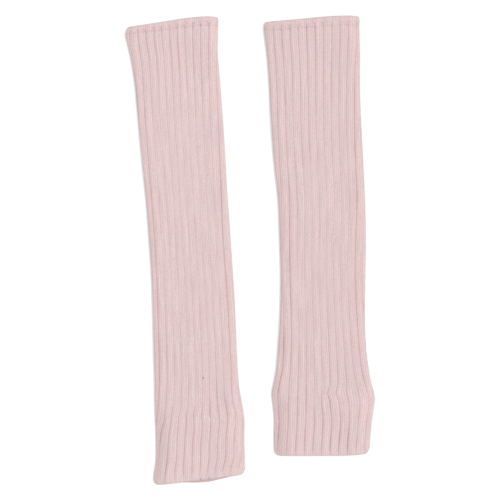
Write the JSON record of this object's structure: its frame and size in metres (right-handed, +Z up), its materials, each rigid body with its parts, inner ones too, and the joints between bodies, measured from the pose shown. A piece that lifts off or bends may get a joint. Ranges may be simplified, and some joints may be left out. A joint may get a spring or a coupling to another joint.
{
  "type": "pair of leg warmers",
  "caption": "Pair of pale pink rib-knit leg warmers laid flat side by side: open tubes with a narrow turned top band and a deep doubled ankle cuff.",
  "frame": {"origin": "centre of the pair's bounding box, on the surface that both leg warmers lie on", "axes": "+Y towards the top bands, along the legs; +X from the left leg warmer to the right one as seen from above; +Z up, out of the surface"},
  "size_m": [0.2738, 0.5157, 0.009],
  "materials": {
    "turned_band": "pale pink rib knit, turned in and linked, soft and matt",
    "ribbed_leg": "pale pink rib knit, single layer, soft and matt",
    "doubled_cuff": "pale pink rib knit, doubled, soft and matt"
  },
  "bodies": {
    "root": {"left_top_band": "turned_band", "left_leg": "ribbed_leg", "left_ankle_cuff": "doubled_cuff", "right_top_band": "turned_band", "right_leg": "ribbed_leg", "right_ankle_cuff": "doubled_cuff"}
  },
  "joints": []
}
